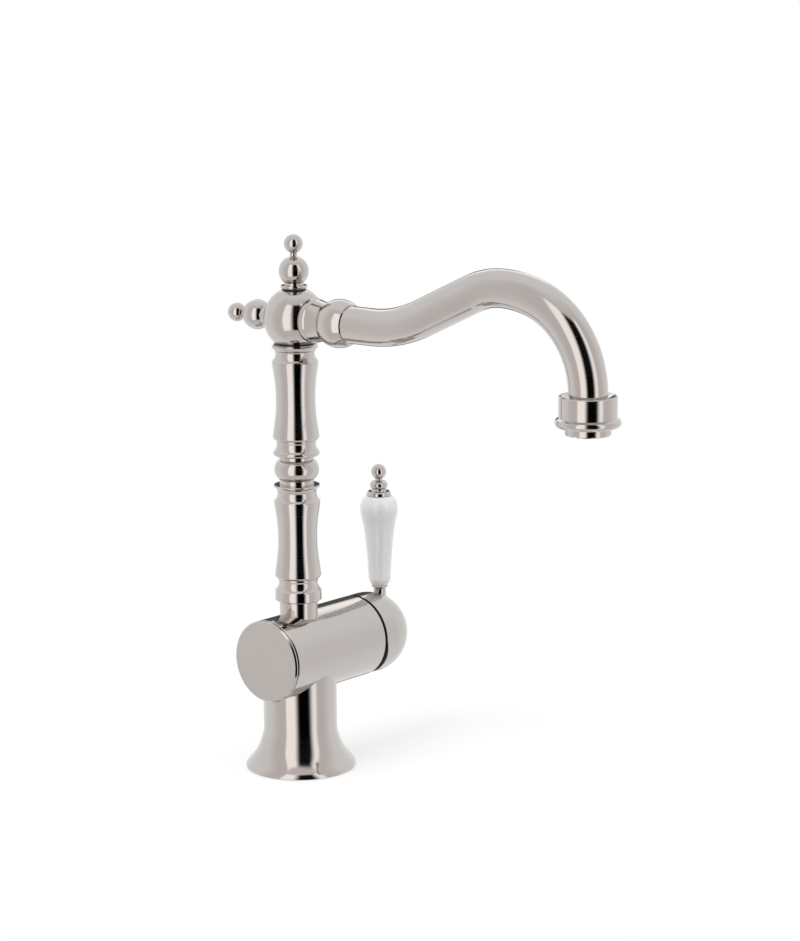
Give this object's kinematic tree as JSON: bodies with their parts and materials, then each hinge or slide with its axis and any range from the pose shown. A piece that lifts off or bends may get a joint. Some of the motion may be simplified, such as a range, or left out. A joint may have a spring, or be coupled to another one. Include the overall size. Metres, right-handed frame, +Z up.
{
  "type": "bathroom sink faucet",
  "caption": "Tall single-lever basin mixer with a turned column, a swivelling swan-neck spout and a porcelain side lever.",
  "frame": {"origin": "centre of the well's mouth in the pedestal's foot, on the deck plane", "axes": "+Z up along the column, -Y along the spout, +X towards the lever"},
  "size_m": [0.1173, 0.2763, 0.3137],
  "materials": {
    "polished_nickel": "polished nickel plate on brass",
    "porcelain": "white glazed porcelain",
    "brass": "machined brass",
    "steel": "stainless steel",
    "ceramic": "lapped alumina ceramic",
    "cartridge_plastic": "moulded plastic",
    "screen_plastic": "moulded plastic",
    "nylon": "nylon",
    "black_plastic": "black moulded plastic",
    "seal_rubber": "black rubber"
  },
  "bodies": {
    "body": {"pedestal": "polished_nickel", "deck_seal": "seal_rubber", "barrel_body": "polished_nickel", "end_cap": "polished_nickel", "end_cap_seal": "seal_rubber", "cap_gasket": "seal_rubber", "column_core": "brass", "column_foot": "polished_nickel", "column_collar": "polished_nickel", "lower_baluster": "polished_nickel", "cup_ring": "polished_nickel", "middle_bead": "polished_nickel", "foot_ring": "polished_nickel", "upper_baluster": "polished_nickel", "head_ring": "polished_nickel", "swivel_spigot": "brass", "swivel_seal_lower": "seal_rubber", "swivel_seal_upper": "seal_rubber", "slide_washer": "black_plastic", "cartridge_base": "cartridge_plastic", "port_seal_hot": "seal_rubber", "port_seal_cold": "seal_rubber", "port_seal_outlet": "seal_rubber", "fixed_disc": "ceramic", "cartridge_housing": "cartridge_plastic", "retaining_nut": "brass"},
    "spout": {"spout_hub": "polished_nickel", "stop_screw": "steel", "finial_washer_top": "seal_rubber", "finial_seat_top": "polished_nickel", "finial_top": "polished_nickel", "finial_washer_rear": "seal_rubber", "finial_seat_rear": "polished_nickel", "finial_rear": "polished_nickel", "spout_neck_ring": "polished_nickel", "spout_root_nut": "polished_nickel", "spout_tube": "polished_nickel", "end_collar": "polished_nickel", "end_ring": "polished_nickel", "aerator_housing": "polished_nickel", "aerator_seal": "seal_rubber", "aerator_screen": "screen_plastic"},
    "rotor": {"cartridge_rotor": "cartridge_plastic", "pivot_pin": "steel"},
    "disc": {"moving_disc": "ceramic", "disc_carrier": "cartridge_plastic"},
    "lever": {"spindle": "brass", "lever_dome": "polished_nickel", "dome_screw": "steel", "ferrule": "polished_nickel", "handle_washer": "nylon", "porcelain_handle": "porcelain", "dish_ring": "polished_nickel", "handle_rod": "steel", "lever_knob": "polished_nickel"}
  },
  "joints": [
    {"name": "spout_swivel", "type": "hinge", "parent": "body", "child": "spout", "pos_m": [0, 0, 0.2514], "axis": [0, 0, 1], "range_deg": [-75, 75]},
    {"name": "temperature_turn", "type": "hinge", "parent": "body", "child": "rotor", "pos_m": [0.044, 0, 0.0685], "axis": [1, 0, 0], "range_deg": [-45, 45]},
    {"name": "lever_tilt", "type": "hinge", "parent": "rotor", "child": "lever", "pos_m": [0.044, 0, 0.0685], "axis": [0, 1, 0], "range_deg": [0, 14]},
    {"name": "disc_slide", "type": "slide", "parent": "rotor", "child": "disc", "axis": [0, 0, 1], "range_m": [0, 0.0043]}
  ],
  "couplings": [
    {"joint": "disc_slide", "follows": "lever_tilt", "m_per_rad": 0.0173}
  ]
}
